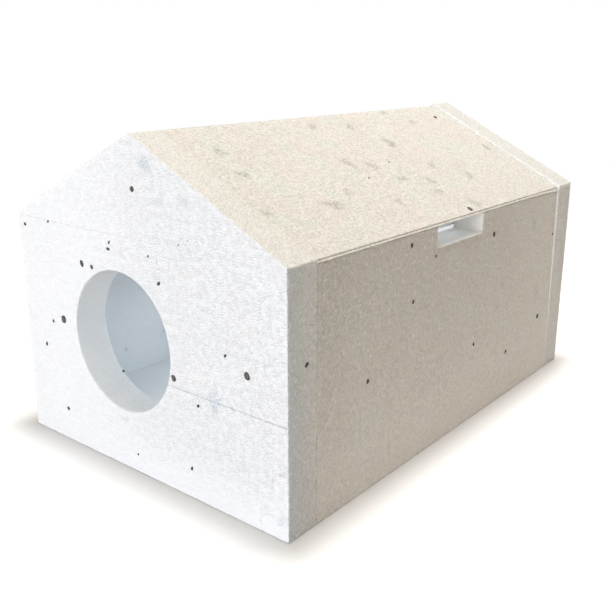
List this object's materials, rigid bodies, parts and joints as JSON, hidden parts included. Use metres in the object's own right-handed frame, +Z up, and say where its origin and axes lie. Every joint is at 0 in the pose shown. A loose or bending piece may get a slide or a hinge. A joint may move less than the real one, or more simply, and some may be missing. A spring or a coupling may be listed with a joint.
{
  "type": "cat house",
  "caption": "Gable-roofed bead-foam cat house with a round front entrance, finger slots under the eaves and a roof that lifts off between the end panels.",
  "frame": {"origin": "on the ground under the middle of the house's length and width", "axes": "+Z up; +Y along the ridge from the front to the rear, so the entrance faces -Y; +X to the right seen from the front"},
  "size_m": [0.406, 0.6, 0.3634],
  "materials": {
    "bead_foam": "hot-wire-cut expanded polystyrene with a fine bead texture, scattered dark recycled beads and pale grey-green patches",
    "foam_glue": "dried cream-coloured foam adhesive"
  },
  "bodies": {
    "base": {"front_panel": "bead_foam", "rear_panel": "bead_foam", "left_wall": "bead_foam", "right_wall": "bead_foam", "floor_panel": "bead_foam", "front_joint_glue": "foam_glue", "rear_joint_glue": "foam_glue", "floor_left_glue": "foam_glue", "floor_right_glue": "foam_glue"},
    "roof": {"roof_left": "bead_foam", "roof_right": "bead_foam", "ridge_glue": "foam_glue"}
  },
  "joints": [
    {"name": "roof_lift", "type": "slide", "parent": "base", "child": "roof", "axis": [0, 0, 1], "range_m": [0, 0.14]}
  ]
}
